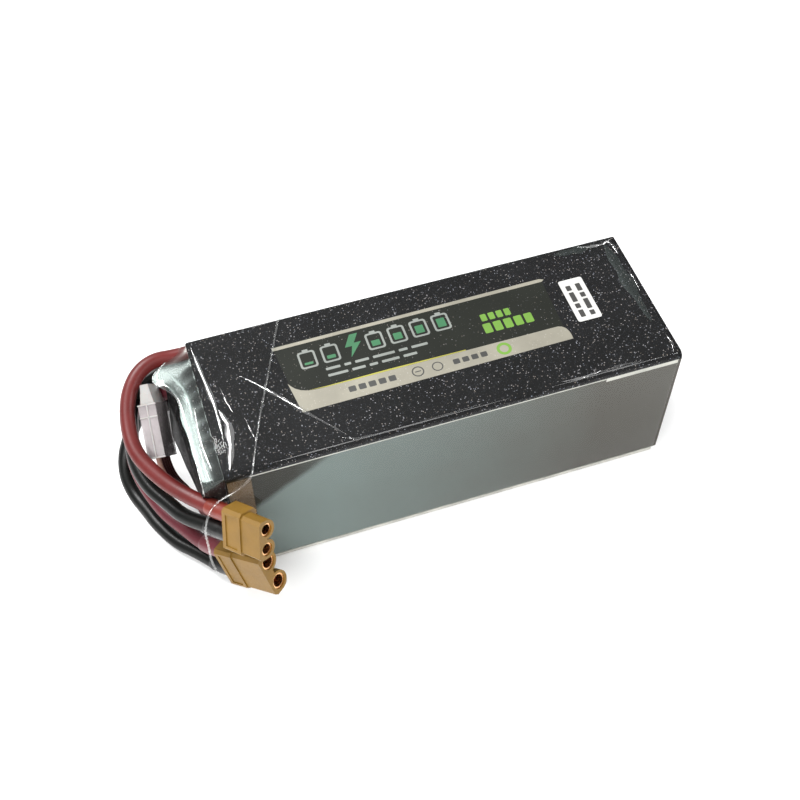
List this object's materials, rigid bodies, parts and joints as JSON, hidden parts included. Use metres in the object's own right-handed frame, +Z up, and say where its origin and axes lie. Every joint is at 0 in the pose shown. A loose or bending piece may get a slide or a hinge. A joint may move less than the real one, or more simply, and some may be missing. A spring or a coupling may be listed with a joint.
{
  "type": "lithium polymer battery pack",
  "caption": "Long rectangular battery pack in glossy film, with curved red and black leads, tan two-pin power plugs and a small balance plug.",
  "frame": {"origin": "on the resting face, midway along the pack with its film collar and midway across", "axes": "+X along the pack away from the leads, +Z up from the resting face, -Y towards the side the plugs rest on"},
  "size_m": [0.2003, 0.088, 0.0613],
  "materials": {
    "pouch_foil": "satin",
    "foam": "matte",
    "fibre_board": "satin",
    "nickel": "satin",
    "copper": "satin",
    "side_plate": "satin",
    "glitter_card": "glitter print",
    "plain_card": "matte",
    "clear_film": "clear gloss",
    "sticker": "matte print",
    "tape": "translucent satin",
    "plug_nylon": "satin moulded",
    "gold": "polished plating",
    "red_silicone": "matte",
    "black_silicone": "matte",
    "crimson_silicone": "matte",
    "red_sleeve": "satin",
    "black_sleeve": "satin",
    "balance_nylon": "translucent satin",
    "guard_clear": "clear satin",
    "balance_pink": "satin",
    "balance_dark_red": "satin",
    "clear_elastic": "clear gloss"
  },
  "bodies": {
    "root": {"cell_1": "pouch_foil", "cell_2": "pouch_foil", "cell_3": "pouch_foil", "cell_4": "pouch_foil", "cell_pad_1": "foam", "cell_pad_2": "foam", "cell_pad_3": "foam", "cell_tabs_1": "nickel", "cell_tabs_2": "nickel", "cell_tabs_3": "nickel", "cell_tabs_4": "nickel", "series_link_1": "nickel", "series_link_2": "nickel", "series_link_3": "nickel", "negative_bar": "copper", "positive_bar": "copper", "wire_end_block": "foam", "lead_ends": "copper", "balance_board": "fibre_board", "plain_end_pad": "foam", "near_side_plate": "side_plate", "far_side_plate": "side_plate", "top_label_card": "glitter_card", "bottom_card": "plain_card", "shrink_film": "clear_film", "film_collar": "clear_film", "rating_sticker": "sticker", "corner_tape": "tape", "wire_end_flap": "foam", "upper_plug_housing": "plug_nylon", "upper_plug_sockets": "gold", "lower_plug_housing": "plug_nylon", "lower_plug_sockets": "gold", "upper_red_lead": "red_silicone", "lower_red_lead": "crimson_silicone", "upper_black_lead": "black_silicone", "lower_black_lead": "black_silicone", "upper_red_sleeve": "red_sleeve", "lower_red_sleeve": "red_sleeve", "upper_black_sleeve": "black_sleeve", "lower_black_sleeve": "black_sleeve", "balance_plug_housing": "balance_nylon", "balance_contacts": "gold", "balance_guard_far": "guard_clear", "balance_guard_near": "guard_clear", "balance_wire_1": "balance_pink", "balance_wire_2": "balance_dark_red", "balance_wire_3": "balance_dark_red", "balance_wire_4": "balance_dark_red", "balance_wire_5": "balance_dark_red", "clear_band": "clear_elastic"}
  },
  "joints": []
}
